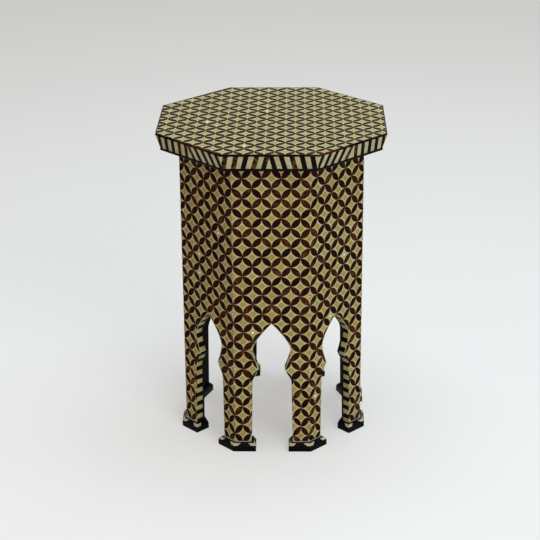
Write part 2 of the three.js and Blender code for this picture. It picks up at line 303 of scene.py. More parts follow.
def mottledShell(name, stops, **changes):
    # polished tortoiseshell-like resin: red-black with amber clouds that differ from piece to piece
    look = {"cloudMm": 9, "clouding": 1.2, "tinting": 0.6, "start": 0.05, "fleckMm": 2.2, "flecking": 0.35,
            "tileShift": 0.6, **changes}
    material, tree, shader = newMaterial(name, Roughness=0.26, IOR=1.38, Specular_IOR_Level=0.02)
    place, tint = tileCoordinates(tree, look["tileShift"])
    cloud = addNode(tree, "ShaderNodeTexNoise",
                    {"Vector": place, "Scale": 1 / (look["cloudMm"] * mm), "Detail": 3.0, "Distortion": 0.6})
    fleck = addNode(tree, "ShaderNodeTexNoise",
                    {"Vector": place, "Scale": 1 / (look["fleckMm"] * mm), "Detail": 2.0})
    clouded = addNode(tree, "ShaderNodeMath",
                      {0: cloud.outputs["Fac"], 1: look["clouding"], 2: look["start"] - look["clouding"] / 2},
                      operation="MULTIPLY_ADD")
    flecked = addNode(tree, "ShaderNodeMath",
                      {0: fleck.outputs["Fac"], 1: look["flecking"], 2: clouded.outputs[0]},
                      operation="MULTIPLY_ADD")
    toned = addNode(tree, "ShaderNodeMath", {0: tint, 1: look["tinting"], 2: flecked.outputs[0]},
                    operation="MULTIPLY_ADD")
    ramp = addNode(tree, "ShaderNodeValToRGB", {"Fac": toned.outputs[0]})
    fillRamp(ramp, stops)
    feedShader(tree, shader, Base_Color=ramp.outputs[0])
    return material


def blackPutty():
    # lampblack in hide glue, scraped between the tiles: dull black-red that fills every joint;
    # its grit is drawn coarser than it is, so that it shows
    look = {"gritMm": 1.111, "gritDepthMm": 0.1, "gritting": 0.5}
    material, tree, shader = newMaterial("lampblackPutty", Roughness=0.75, IOR=1.4, Specular_IOR_Level=0.04)
    place = addNode(tree, "ShaderNodeTexCoord").outputs["Object"]
    grit = addNode(tree, "ShaderNodeTexNoise",
                   {"Vector": place, "Scale": 1 / (look["gritMm"] * mm), "Detail": 2.0})
    ramp = addNode(tree, "ShaderNodeValToRGB", {"Fac": grit.outputs["Fac"]})
    fillRamp(ramp, [(0.3, "#180806"), (0.7, "#26100B")])
    bump = addNode(tree, "ShaderNodeBump", {"Height": grit.outputs["Fac"], "Strength": look["gritting"],
                                            "Distance": look["gritDepthMm"] * mm})
    feedShader(tree, shader, Base_Color=ramp.outputs[0], Normal=bump.outputs[0])
    return material


def blackLacquer(name, roughness, **values):
    # black lacquer on wood: glossy, with slow waves, dust in it, and brown where it is thin;
    # the dust is drawn coarser than it is, so that it shows
    look = {"waveMm": 14, "waveDepthMm": 0.4, "waving": 0.5, "dustMm": 1.2}
    material, tree, shader = newMaterial(name, **values)
    place = addNode(tree, "ShaderNodeTexCoord").outputs["Object"]
    wave = addNode(tree, "ShaderNodeTexNoise",
                   {"Vector": place, "Scale": 1 / (look["waveMm"] * mm), "Detail": 3.0})
    dust = addNode(tree, "ShaderNodeTexNoise",
                   {"Vector": place, "Scale": 1 / (look["dustMm"] * mm), "Detail": 2.0})
    ramp = addNode(tree, "ShaderNodeValToRGB", {"Fac": wave.outputs["Fac"]})
    fillRamp(ramp, [(0.35, "#080608"), (0.62, "#0D0909"), (0.78, "#1C100D")])
    rough = addNode(tree, "ShaderNodeMapRange",
                    {"Value": dust.outputs["Fac"], "To Min": roughness[0], "To Max": roughness[1]})
    bump = addNode(tree, "ShaderNodeBump", {"Height": wave.outputs["Fac"], "Strength": look["waving"],
                                            "Distance": look["waveDepthMm"] * mm})
    feedShader(tree, shader, Base_Color=ramp.outputs[0], Roughness=rough.outputs[0], Normal=bump.outputs[0])
    return material


def blackPaintAndShade():
    # thin matt black paint over bare boards: the grain still shows as ridges; its black is drawn darker than
    # the paint is, as painted shade for the hollow inside
    look = {"grainMm": 1.4, "grainRun": 0.06, "grainDepthMm": 0.3, "graining": 0.6, "patchMm": 45,
            "roughness": (0.55, 0.8)}
    material, tree, shader = newMaterial("brushedBlackPaintAndShade", IOR=1.4, Specular_IOR_Level=0.2)
    place = addNode(tree, "ShaderNodeTexCoord").outputs["Object"]
    along = addNode(tree, "ShaderNodeVectorMath", {0: place, 1: (1, 1, look["grainRun"])},
                    operation="MULTIPLY")
    grain = addNode(tree, "ShaderNodeTexNoise",
                    {"Vector": along.outputs[0], "Scale": 1 / (look["grainMm"] * mm), "Detail": 4.0})
    patch = addNode(tree, "ShaderNodeTexNoise",
                    {"Vector": place, "Scale": 1 / (look["patchMm"] * mm), "Detail": 3.0})
    ramp = addNode(tree, "ShaderNodeValToRGB", {"Fac": patch.outputs["Fac"]})
    # painted shade: both tones are darkened below the paint's own black, so that the inside reads as dark as
    # its shade
    fillRamp(ramp, [(0.3, "#060505"), (0.7, "#0E0B0A")])
    rough = addNode(tree, "ShaderNodeMapRange",
                    {"Value": grain.outputs["Fac"], "To Min": look["roughness"][0],
                     "To Max": look["roughness"][1]})
    bump = addNode(tree, "ShaderNodeBump", {"Height": grain.outputs["Fac"], "Strength": look["graining"],
                                            "Distance": look["grainDepthMm"] * mm})
    feedShader(tree, shader, Base_Color=ramp.outputs[0], Roughness=rough.outputs[0], Normal=bump.outputs[0])
    return material


def planedBeech():
    # plain planed beech, never varnished: pale brown with fine rings and short dark flecks
    look = {"ringMm": 5, "ringRun": 0.08, "fleckMm": 1.0, "flecking": 0.3, "fleckDepthMm": 0.1,
            "ridging": 0.5}
    material, tree, shader = newMaterial("planedBeech", Roughness=0.62, IOR=1.45)
    place = addNode(tree, "ShaderNodeTexCoord").outputs["Object"]
    along = addNode(tree, "ShaderNodeVectorMath", {0: place, 1: (look["ringRun"], 1, 1)},
                    operation="MULTIPLY")
    ring = addNode(tree, "ShaderNodeTexNoise",
                   {"Vector": along.outputs[0], "Scale": 1 / (look["ringMm"] * mm), "Detail": 4.0,
                    "Distortion": 0.8})
    fleck = addNode(tree, "ShaderNodeTexNoise",
                    {"Vector": along.outputs[0], "Scale": 1 / (look["fleckMm"] * mm), "Detail": 2.0})
    blend = addNode(tree, "ShaderNodeMath",
                    {0: fleck.outputs["Fac"], 1: look["flecking"], 2: ring.outputs["Fac"]},
                    operation="MULTIPLY_ADD")
    ramp = addNode(tree, "ShaderNodeValToRGB", {"Fac": blend.outputs[0]})
    fillRamp(ramp, [(0.45, "#A07C52"), (0.62, "#8D6A42"), (0.85, "#6D4E2E")])
    bump = addNode(tree, "ShaderNodeBump", {"Height": fleck.outputs["Fac"], "Strength": look["ridging"],
                                            "Distance": look["fleckDepthMm"] * mm})
    feedShader(tree, shader, Base_Color=ramp.outputs[0], Normal=bump.outputs[0])
    return material


def zincSteel():
    # zinc-plated screw steel: dull grey with the scratches of the driver, drawn coarser than they are
    look = {"scratchMm": 0.714, "roughness": (0.3, 0.5)}
    material, tree, shader = newMaterial("zincPlatedSteel", Metallic=1.0)
    place = addNode(tree, "ShaderNodeTexCoord").outputs["Object"]
    scratch = addNode(tree, "ShaderNodeTexNoise",
                      {"Vector": place, "Scale": 1 / (look["scratchMm"] * mm), "Detail": 2.0})
    ramp = addNode(tree, "ShaderNodeValToRGB", {"Fac": scratch.outputs["Fac"]})
    fillRamp(ramp, [(0.3, "#8C8C88"), (0.7, "#B0AFA9")])
    rough = addNode(tree, "ShaderNodeMapRange",
                    {"Value": scratch.outputs["Fac"], "To Min": look["roughness"][0],
                     "To Max": look["roughness"][1]})
    feedShader(tree, shader, Base_Color=ramp.outputs[0], Roughness=rough.outputs[0])
    return material


bone = polishedBone("sawnOiledBone", light="#AEA56F", middle="#A59C65", dark="#95864F")
paleBone = polishedBone("sawnPaleBone", light="#A8A37E", middle="#9F9A74", dark="#92885D")
nacre = cutNacre()
petalShell = mottledShell("polishedRedShell", (
    (0.0, "#190706"), (0.38, "#200907"), (0.62, "#2C0F0A"), (0.82, "#3F190D"), (1.0, "#5E3017")))
stripShell = mottledShell("polishedBrownShell", (
    (0.0, "#120D0B"), (0.5, "#16100D"), (0.62, "#2A190E"), (0.78, "#4C3015"), (1.0, "#6C4A1D")),
    cloudMm=5, clouding=2.4, tinting=0.8, start=-0.05)
edgeShell = mottledShell("polishedEdgeShell", (
    (0.0, "#0E0707"), (0.1, "#160B09"), (0.26, "#2A100B"), (0.42, "#451E11"), (0.6, "#6A421E")),
    cloudMm=60, clouding=2.2, start=-0.05)
putty = blackPutty()
lacquer = blackLacquer("brushedBlackLacquer", roughness=(0.16, 0.34), IOR=1.45, Specular_IOR_Level=0.04)
wetLacquer = blackLacquer("pooledBlackLacquer", roughness=(0.08, 0.16), IOR=2.0, Specular_IOR_Level=1.0)
shadedPaint = blackPaintAndShade()
beech = planedBeech()
steel = zincSteel()
print("materials made:", len(bpy.data.materials))

# what the CAD nodes themselves are finished in, by the start of their names
carried = {"side_panel": shadedPaint, "top_board": beech, "upper_former": beech, "lower_former": beech,
           "top_edge_strip": edgeShell, "frieze_bead": lacquer, "foot_screw": steel, "top_screw": steel,
           "foot": lacquer, "face_inlay": putty, "arch_lining": putty, "frieze_rail": putty,
           "top_inlay": putty}
for nodeName, node in nodes.items():
    stem = max((key for key in carried if nodeName.startswith(key)), key=len)
    for materialSlot in node.material_slots:
        materialSlot.material = carried[stem]


# Keyhole arch, as in the boards

arch = {
    "footHalf": 37.0, "springHalf": 35.0, "springHeight": 139.0, "springEase": 0.3,
    "cuspHalf": 22.7, "cuspHeight": 161.0, "cuspSwell": 0.95, "cuspRise": 0.75,
    "bulgeHalf": 34.0, "bulgeHeight": 197.0, "apexHeight": 249.5,
    "crownRise": (0.3, 0.72), "crownWidth": (0.99, 0.41), "steps": 6,
}


def curvePoints(controls, steps):
    # a smooth curve between the end controls, pulled aside by the middle ones, without its first point
    found = []
    for step in range(1, steps + 1):
        points = [Vector(c) for c in controls]
        while len(points) > 1:
            points = [a.lerp(b, step / steps) for a, b in zip(points, points[1:])]
        found.append(tuple(points[0]))
    return found


def archOutline():
    # from the right leg's end over the apex to the left leg's end
    drop = arch["springHeight"] - stool["legBottom"]
    rise = arch["cuspHeight"] - arch["springHeight"]
    ease = rise * arch["springEase"]
    crown = arch["apexHeight"] - arch["bulgeHeight"]
    legEnd = (arch["footHalf"], stool["legBottom"])
    easeLow = (arch["springHalf"] + (arch["footHalf"] - arch["springHalf"]) * ease / drop,
               arch["springHeight"] - ease)
    easeHigh = (arch["springHalf"] - (arch["springHalf"] - arch["cuspHalf"]) * arch["springEase"],
                arch["springHeight"] + ease)
    cusp = (arch["cuspHalf"], arch["cuspHeight"])
    bulge = (arch["bulgeHalf"], arch["bulgeHeight"])
    swell = (arch["cuspHalf"] + (arch["bulgeHalf"] - arch["cuspHalf"]) * arch["cuspSwell"],
             arch["cuspHeight"] + (arch["bulgeHeight"] - arch["cuspHeight"]) * arch["cuspRise"])
    crownPulls = [(arch["bulgeHalf"] * wide, arch["bulgeHeight"] + crown * high)
                  for wide, high in zip(arch["crownWidth"], arch["crownRise"])]
    right = [legEnd, easeLow]
    right += curvePoints([easeLow, (arch["springHalf"], arch["springHeight"]), easeHigh], arch["steps"])
    right += [cusp]
    right += curvePoints([cusp, swell, bulge], arch["steps"])
    right += curvePoints([bulge, *crownPulls, (0.0, arch["apexHeight"])], arch["steps"])
    return right + [(-x, z) for x, z in reversed(right[:-1])]


def widened(outline, distance):
    # the open outline moved into the wood, by one distance or by one for each point; its ends stay level
    moved = []
    last = len(outline) - 1
    for i, here in enumerate(outline):
        here = Vector(here)
        before, after = Vector(outline[max(i - 1, 0)]), Vector(outline[min(i + 1, last)])
        incoming = (here - before) if i > 0 else (after - here)
        outgoing = (after - here) if i < last else incoming
        incoming, outgoing = incoming.normalized(), outgoing.normalized()
        side = (incoming + outgoing).normalized()
        reach = (distance if isinstance(distance, float) else distance[i]) / side.dot(outgoing)
        moved.append((here.x + side.y * reach, here.y if i in (0, last) else here.y - side.x * reach))
    return moved


openArch = archOutline()


def sheetOutline(opening, margin):
    # a side's whole outline, cut up from below by the opening
    half = stool["bodyApothem"] * cornerSlope - margin
    low, high = stool["legBottom"], stool["bodyTop"]
    return [(-half, low), *reversed(opening), (half, low), (half, high), (-half, high)]


# Inlay tiles, drawn for a lattice whose points lie one half pitch apart

tile = {
    "pitch": 16.667,        # half pitch that the tiles are drawn for
    "tipGap": 2.1,          # from the end of a star's curved sides to the lattice point
    "tipHalf": 0.18,        # half of the tip's width
    "bodyNeedle": 0.15,     # from the thin end of a tip to the lattice point, on the body and on the top
    "topNeedle": 1.3,
    "starTall": 0.955,      # a body star's height as a share of its width
    "waist": 6.8,           # from a star's middle to the hollow of its side
    "rim": 0.9,             # putty round a petal
    "diamondHalf": 6.3,
    "starDrop": 0.03,       # the diamonds lie flush, the stars and petals a hair lower
    "petalDrop": 0.02,
    "thickness": 0.45,
    "diamondThickness": 0.3,
    "chamfer": 0.08,
    "bedDrop": 0.15,        # the putty lies this far below the diamonds
    "arcSteps": 6,
    "petalSteps": 7,
}


def starSide():
    # centre distance and radius of the arc through a star's tips and waist
    tip, side = tile["pitch"] - tile["tipGap"], tile["tipHalf"]
    waist = tile["waist"] / math.sqrt(2)
    centre = (tip * tip + side * side - 2 * waist * waist) / (2 * (tip + side - 2 * waist))
    return centre, math.hypot(tip - centre, side - centre)


def starOutline(needle):
    # one quarter from a tip to the next, turned four times
    centre, radius = starSide()
    tip = Vector((tile["pitch"] - tile["tipGap"], tile["tipHalf"]))
    first = math.atan2(tip.y - centre, tip.x - centre) % (2 * math.pi)
    last = math.atan2(tip.x - centre, tip.y - centre) % (2 * math.pi)
    arc = arcBetween((centre, centre), radius, first, last, tile["arcSteps"])
    end = tile["pitch"] - needle
    quarter = [(end, tip.y), *arc, (tip.y, end)]
    points = []
    for turn in range(4):
        cosine, sine = round(math.cos(turn * math.pi / 2)), round(math.sin(turn * math.pi / 2))
        points += [(x * cosine - y * sine, x * sine + y * cosine) for x, y in quarter]
    return points


def petalOutline():
    # two arcs that follow the stars' sides, a rim away
    radius = starSide()[1] - tile["rim"]
    half = tile["pitch"] / math.sqrt(2) - tile["waist"] - tile["rim"]
    angle = math.asin(math.sqrt(radius ** 2 - (radius - half) ** 2) / radius)
    points = []
    for centre, facing in ((radius - half, -math.pi / 2), (half - radius, math.pi / 2)):
        points += arcBetween((0, centre), radius, facing - angle, facing + angle, tile["petalSteps"])[:-1]
    return points


def tileObject(name, outline, drop):
    mesh = bmesh.new()
    addTile(mesh, outline, -drop, tile["thickness"], tile["chamfer"])
    return finishMesh(mesh, name)


def diamondObject():
    # its middle is marked, because the painted highlight and painted glint make the pearl paler there
    half = tile["diamondHalf"]
    mesh = bmesh.new()
    layer = mesh.verts.layers.float.new("middle")
    outline = [(half, 0), (0, half), (-half, 0), (0, -half)]
    addTile(mesh, outline, 0.0, tile["diamondThickness"], tile["chamfer"])
    mesh.faces.ensure_lookup_table()
    poked = bmesh.ops.poke(mesh, faces=[mesh.faces[-1]])
    poked["verts"][0][layer] = 1.0
    return finishMesh(mesh, "diamondTile")


diamondTile = diamondObject()
bodyStar = tileObject("bodyStar", starOutline(tile["bodyNeedle"]), tile["starDrop"])
topStar = tileObject("topStar", starOutline(tile["topNeedle"]), tile["starDrop"])
petalTile = tileObject("petalTile", petalOutline(), tile["petalDrop"])

# Laying the tiles by hand: the most that one is turned or shrunk, and what is added to a sheet's seed
# for its tiles' sizes and tints; the cutter is a slab that reaches from below the tiles to above them
laying = {"handTurn": math.radians(0.7), "handShrink": 0.015, "sizeSeed": 101, "tintSeed": 202,
          "cutterLow": -3.0, "cutterHigh": 1.0}


def layTilesTree():
    # a tile on every point of a mesh, turned and stretched as the point says, each with its own tint
    tree = bpy.data.node_groups.new("layTiles", "GeometryNodeTree")
    for name, kind in (("Places", "Geometry"), ("Tile", "Object"), ("Hand Turn", "Float"),
                       ("Hand Shrink", "Float"), ("Most Tint", "Float"), ("Seed", "Int"),
                       ("Finish", "Material")):
        tree.interface.new_socket(name, in_out="INPUT", socket_type="NodeSocket" + kind)
    tree.interface.new_socket("Tiles", in_out="OUTPUT", socket_type="NodeSocketGeometry")
    given = addNode(tree, "NodeGroupInput").outputs
    shape = addNode(tree, "GeometryNodeObjectInfo", {"Object": given["Tile"]})
    turn = addNode(tree, "GeometryNodeInputNamedAttribute", {"Name": "turn"}, data_type="FLOAT_VECTOR")
    stretch = addNode(tree, "GeometryNodeInputNamedAttribute", {"Name": "stretch"}, data_type="FLOAT_VECTOR")
    least = addNode(tree, "ShaderNodeMath", {0: given["Hand Turn"], 1: -1.0}, operation="MULTIPLY")
    sway = addNode(tree, "FunctionNodeRandomValue",
                   {"Min_001": least.outputs[0], "Max_001": given["Hand Turn"], "Seed": given["Seed"]})
    swayed = addNode(tree, "ShaderNodeCombineXYZ", {"Z": sway.outputs[1]})
    turned = addNode(tree, "ShaderNodeVectorMath", {0: turn.outputs[0], 1: swayed.outputs[0]},
                     operation="ADD")
    smaller = addNode(tree, "ShaderNodeMath", {0: 1.0, 1: given["Hand Shrink"]}, operation="SUBTRACT")
    sizeSeed = addNode(tree, "FunctionNodeIntegerMath", {0: given["Seed"], 1: laying["sizeSeed"]},
                       operation="ADD")
    size = addNode(tree, "FunctionNodeRandomValue",
                   {"Min_001": smaller.outputs[0], "Max_001": 1.0, "Seed": sizeSeed.outputs[0]})
    sized = addNode(tree, "ShaderNodeVectorMath", {0: stretch.outputs[0], "Scale": size.outputs[1]},
                    operation="SCALE")
    laid = addNode(tree, "GeometryNodeInstanceOnPoints",
                   {"Points": given["Places"], "Instance": shape.outputs["Geometry"],
                    "Rotation": turned.outputs[0], "Scale": sized.outputs[0]})
    tintSeed = addNode(tree, "FunctionNodeIntegerMath", {0: given["Seed"], 1: laying["tintSeed"]},
                       operation="ADD")
    tint = addNode(tree, "FunctionNodeRandomValue",
                   {"Max_001": given["Most Tint"], "Seed": tintSeed.outputs[0]})
    tinted = addNode(tree, "GeometryNodeStoreNamedAttribute",
                     {"Geometry": laid.outputs[0], "Name": "tint", "Value": tint.outputs[1]},
                     domain="INSTANCE", data_type="FLOAT")
    real = addNode(tree, "GeometryNodeRealizeInstances", {"Geometry": tinted.outputs[0]})
    finished = addNode(tree, "GeometryNodeSetMaterial",
                       {"Geometry": real.outputs[0], "Material": given["Finish"]})
    addNode(tree, "NodeGroupOutput", {"Tiles": finished.outputs[0]})
    return tree


layTiles = layTilesTree()


def layPiece(name, places, shape, material, seed, cutter, matrix, mostTint=1.0):
    # places are (across, up, turn, stretch across, stretch up) in millimetres and radians
    data = bpy.data.meshes.new(name)
    data.from_pydata([(place[0] * mm, place[1] * mm, 0) for place in places], [], [])
    turns = data.attributes.new("turn", "FLOAT_VECTOR", "POINT")
    stretches = data.attributes.new("stretch", "FLOAT_VECTOR", "POINT")
    for i, (_, _, angle, across, up) in enumerate(places):
        turns.data[i].vector = (0, 0, angle)
        stretches.data[i].vector = (across, up, 1)
    source = newObject(name + "Places", data)
    modifier = source.modifiers.new("layTiles", "NODES")
    modifier.node_group = layTiles
    inputs = {"Tile": shape, "Hand Turn": laying["handTurn"], "Hand Shrink": laying["handShrink"],
              "Most Tint": mostTint, "Seed": seed, "Finish": material}
    for item in layTiles.interface.items_tree:
        if item.name in inputs:
            modifier[item.identifier] = inputs[item.name]
    trim = source.modifiers.new("trim", "BOOLEAN")
    trim.operation, trim.solver, trim.object = "INTERSECT", "MANIFOLD", cutter
    graph = bpy.context.evaluated_depsgraph_get()
    result = bpy.data.meshes.new_from_object(source.evaluated_get(graph))
    bpy.data.objects.remove(source)
    result.name = name
    result.materials.clear()
    result.materials.append(material)
    result.polygons.foreach_set("material_index", [0] * len(result.polygons))
    return placePiece(newObject(name, result), matrix)


def latticeTiles(point, columns, rows, tall=1.0):
    # star and petal places for a lattice; point(i, j) gives where a lattice point lies
    stars, petals = [], []
    for i in columns:
        for j in rows:
            holdsStar = (i + j) % 2 == 0
            if holdsStar:
                x, y = point(i, j)
                across = abs(point(i + 1, j)[0] - point(i - 1, j)[0]) / 2
                up = abs(point(i, j + 1)[1] - point(i, j - 1)[1]) / 2
                wide, high = min(across / tile["pitch"], 1.0), min(up / tile["pitch"], 1.0) * tall
                stars.append((x, y, 0.0, wide, high))
            # a petal joins two lattice points that hold no star
            ends = ((i + 1, j), (i, j + 1)) if holdsStar else ((i, j), (i + 1, j + 1))
            first, last = (Vector(point(*end)) for end in ends)
            middle, along = (first + last) / 2, last - first
            length = along.length / (tile["pitch"] * math.sqrt(2))
            petals.append((middle.x, middle.y, math.atan2(along.y, along.x), length, length))
    return stars, petals


def layInlay(names, lattice, starTile, seeds, cutter, place, sheetNode, mostTint=1.0):
    # a sheet's stars, the diamond on each, and the petals between
    starPlaces, petalPlaces = lattice
    stars = layPiece(names[0], starPlaces, starTile, bone, seeds[0], cutter, place)
    ridePiece(stars, "bone_inlay", sheetNode)
    diamonds = layPiece(names[1], starPlaces, diamondTile, nacre, seeds[1], cutter, place)
    ridePiece(diamonds, "bone_inlay")
    petals = layPiece(names[2], petalPlaces, petalTile, petalShell, seeds[2], cutter, place, mostTint)
    ridePiece(petals, "tortoiseshell_inlay")


# Wander of the hand-laid tiles

# How far each sheet's tiles stray from the drawn lattice, across it and up, in millimetres at its edges:
# a shift of all, a spread from the middle column, a lean from the first row to the last, a twist of both,
# and a bow of the outer columns against the middle one. The values weren't chosen by hand: they were fitted
# by least squares to shifts measured in the photo, and rounded to half a millimetre
wander = {
    "front": {"across": {"shift": 0.5, "lean": -1.0, "twist": -0.5, "bow": -0.5},
              "up": {"shift": -1.0, "spread": -1.5, "lean": -1.0, "twist": -1.5, "bow": -0.5}},
    "right": {"across": {"shift": 2.0, "lean": -1.5, "twist": -0.5, "bow": -1.0},
              "up": {"shift": -2.0, "spread": 0.5, "twist": 1.5, "bow": -0.5}},
    "left": {"across": {"shift": -2.5, "spread": 0.5, "lean": 1.0, "twist": -2.5, "bow": 2.0},
             "up": {"shift": -0.5, "spread": -0.5, "lean": 1.0, "twist": -1.0, "bow": 0.5}},
    "top": {"across": {"shift": -1.0, "spread": 3.0, "twist": -1.5, "bow": -5.0},
            "up": {"shift": -0.5, "spread": -1.0, "lean": -0.5, "twist": -0.5, "bow": 4.0}},
}

# the sheet that each side follows, and whether it is mirrored: the five hidden sides mirror the seen ones
sideWander = (("front", False), ("right", False), ("left", True), ("right", True),
              ("front", True), ("left", True), ("right", True), ("left", False))


def wandered(sheet, column, row, mirrored=False):
    # column and row run from -1 to 1 over the sheet; the third in a bow keeps its mean at nothing
    column = -column if mirrored else column
    terms = {"shift": 1.0, "spread": column, "lean": row, "twist": column * row,
             "bow": column * column - 1 / 3}
    across, up = (sum(terms[name] * amount for name, amount in wander[sheet][way].items())
                  for way in ("across", "up"))
    return -across if mirrored else across, up


# Body inlay

body = {
    "halfAcross": 16.667, "halfUp": 17.9, "firstRow": 519.4, "rowsAbove": 2, "rowsBelow": 30,
    "columns": 4, "columnsLaid": 6,     # to the corner, and as far as tiles are laid before they are cut
    "edging": 0.9,          # bone strip along the arch, above its cusps only
    "edgingGap": 0.08, "liningGap": 0.12, "mitreGap": 0.05,
    "legColumn": 38.7,      # where the pattern's second column stands on the legs
    "squeezeFrom": 168.0, "squeezeTo": 137.0,
    "legRow": 20.5, "legUp": 18.5,      # the rows on the legs stand a little wider apart
    "pieces": ("boneStars", "nacreDiamonds", "shellPetals"), "seeds": (11, 31, 51),
}


def bodyPoint(i, j):
    # above the arches an even lattice; on the legs its outer columns draw together
    x, y = i * body["halfAcross"], body["firstRow"] - j * body["halfUp"]
    y -= max(j - body["legRow"], 0.0) * (body["legUp"] - body["halfUp"])
    squeeze = min(max((body["squeezeFrom"] - y) / (body["squeezeFrom"] - body["squeezeTo"]), 0.0), 1.0)
    corner = body["columns"] * body["halfAcross"]
    if abs(i) > 1:
        narrow = (corner - body["legColumn"]) / 2
        onLeg = math.copysign(corner - (body["columns"] - abs(i)) * narrow, x)
        x += (onLeg - x) * squeeze
    return x, y


def sidePoint(side):
    # the lattice of one side, with its sheet's wander
    sheet, mirrored = sideWander[side]
    middle = (body["rowsBelow"] - body["rowsAbove"] - 1) / 2

    def point(i, j):
        x, y = bodyPoint(i, j)
        column, row = i / body["columns"], (j - middle) / (body["rowsBelow"] - middle)
        across, up = wandered(sheet, column, row, mirrored)
        return x + across, y + up
    return point


edgedPoints = [point for point in openArch if point[1] >= arch["cuspHeight"]]
tileGaps = [body["edging"] + body["edgingGap"] if point in edgedPoints else body["liningGap"]
            for point in openArch]
bodyCutter = slabBetween("bodyCutter", sheetOutline(widened(openArch, tileGaps), body["mitreGap"]),
                         laying["cutterLow"], laying["cutterHigh"], cornerSlope)
bodyColumns = range(-body["columnsLaid"], body["columnsLaid"] + 1)
bodyRows = range(-body["rowsAbove"], body["rowsBelow"])
bedOutline = sheetOutline(widened(openArch, stool["liningThickness"]), body["mitreGap"])


def archEdging(name):
    # bone strip over the arch, in four lengths that meet at the widest points and at the apex
    outer = widened(openArch, body["edging"])
    first = openArch.index(edgedPoints[0])
    last = openArch.index(edgedPoints[-1])
    steps = arch["steps"]
    bends = [first, first + steps, first + 2 * steps, last - steps, last]
    mesh = bmesh.new()
    for start, end in zip(bends, bends[1:]):
        outline = openArch[start:end + 1] + outer[start:end + 1][::-1]
        addTile(mesh, outline[::-1], 0.0, tile["thickness"], tile["chamfer"])
    return finishMesh(mesh, name, bone)


for side in range(stool["sides"]):
    number = side + 1
    place = faceMatrix(side)
    lattice = latticeTiles(sidePoint(side), bodyColumns, bodyRows, tile["starTall"])
    layInlay([f"{name}_{number}" for name in body["pieces"]], lattice, bodyStar,
             [seed + number for seed in body["seeds"]], bodyCutter, place, f"face_inlay_{number}")
    bed = slabBetween(f"puttyBed_{number}", bedOutline, -stool["sheetThickness"], -tile["bedDrop"],
                      cornerSlope, putty)
    ridePiece(placePiece(bed, place), "tortoiseshell_inlay")
    ridePiece(placePiece(archEdging(f"archEdging_{number}"), place), "bone_inlay")
print("body inlay laid, tiles a side:", len(lattice[0]), len(lattice[1]))


# Top inlay

top = {
    "halfAcross": 16.9, "halfUp": 16.6, "firstColumn": -10.0, "firstRow": -182.9, "columns": 14,
    "rowsBefore": 2, "rows": 26,
    "edgeGap": 0.1,
    "mostRed": 0.45,        # the reddest petal's tint, where the sides' goes up to 1
    "pieces": ("topBoneStars", "topNacreDiamonds", "topShellPetals"), "seeds": (71, 72, 73),
}


def topPoint(i, j):
    # the top's lattice, with its wander
    across, up = wandered("top", i * top["halfAcross"] / stool["topInlayApothem"],
                          j * top["halfUp"] / stool["topInlayApothem"] - 1)
    return top["firstColumn"] + i * top["halfAcross"] + across, top["firstRow"] + j * top["halfUp"] + up


def octagonOutline(apothem):
    radius = apothem / math.cos(sideAngle / 2)
    return [(radius * math.cos(sideAngle * (k + 0.5)), radius * math.sin(sideAngle * (k + 0.5)))
            for k in range(stool["sides"])]


topPlace = Matrix.Translation((0, 0, stool["topHeight"] * mm))
topCutter = slabBetween("topCutter", octagonOutline(stool["topInlayApothem"] - top["edgeGap"]),
                        laying["cutterLow"], laying["cutterHigh"], 0.0)
lattice = latticeTiles(topPoint, range(-top["columns"], top["columns"] + 1),
                       range(-top["rowsBefore"], top["rows"]))
layInlay(top["pieces"], lattice, topStar, top["seeds"], topCutter, topPlace, "top_inlay", top["mostRed"])
bed = slabBetween("topPuttyBed", octagonOutline(stool["topInlayApothem"]),
                  stool["topInlayBottom"] - stool["topHeight"], -tile["bedDrop"], 0.0, putty)
ridePiece(placePiece(bed, topPlace), "tortoiseshell_inlay")
print("top inlay laid, tiles:", len(lattice[0]), len(lattice[1]))


# Striped frieze

frieze = {
    "lowApothem": 192.0, "lowHeight": 547.7, "highApothem": 200.0, "highHeight": 571.2,
    "innerApothem": 180.0, "rebateHeight": 572.7, "rebateApothem": 198.2, "mitreGap": 0.15,
    # the dark stripes' middles at their upper and lower ends, outwards from the middle of a side
    "stripeHalf": 4.2,
    "highPlaces": (4.5, 21.5, 39.0, 56.0, 73.5),
    "lowPlaces": (10.5, 27.5, 44.5, 61.0, 77.5),
    # how far the stripes of a side's left and right half stray from these places
    "strays": {"front": (-0.5, -2.5), "right": (-1.0, 1.0), "left": (0.5, -1.0)},
    "depth": 0.8, "chamfer": 0.1, "recess": 0.15, "joint": 0.08, "endGap": 0.08,
    "beyond": 20.0,         # a side's end strips are drawn past the corner by this much, then cut there
    # stripes with amber in them, counted from the left, for each side
    "mottled": ((0, 1, 3, 4, 7), (4, 5), (1, 2, 8), (5, 6), (0, 4, 9), (2, 3, 7), (1, 5, 6), (3, 4, 5)),
    "plainTint": -0.6, "amberTint": 0.5, "amberSpread": 0.12, "seed": 400,
}
friezeRun = frieze["highApothem"] - frieze["lowApothem"]
friezeRise = frieze["highHeight"] - frieze["lowHeight"]
friezeSlope = math.hypot(friezeRun, friezeRise)


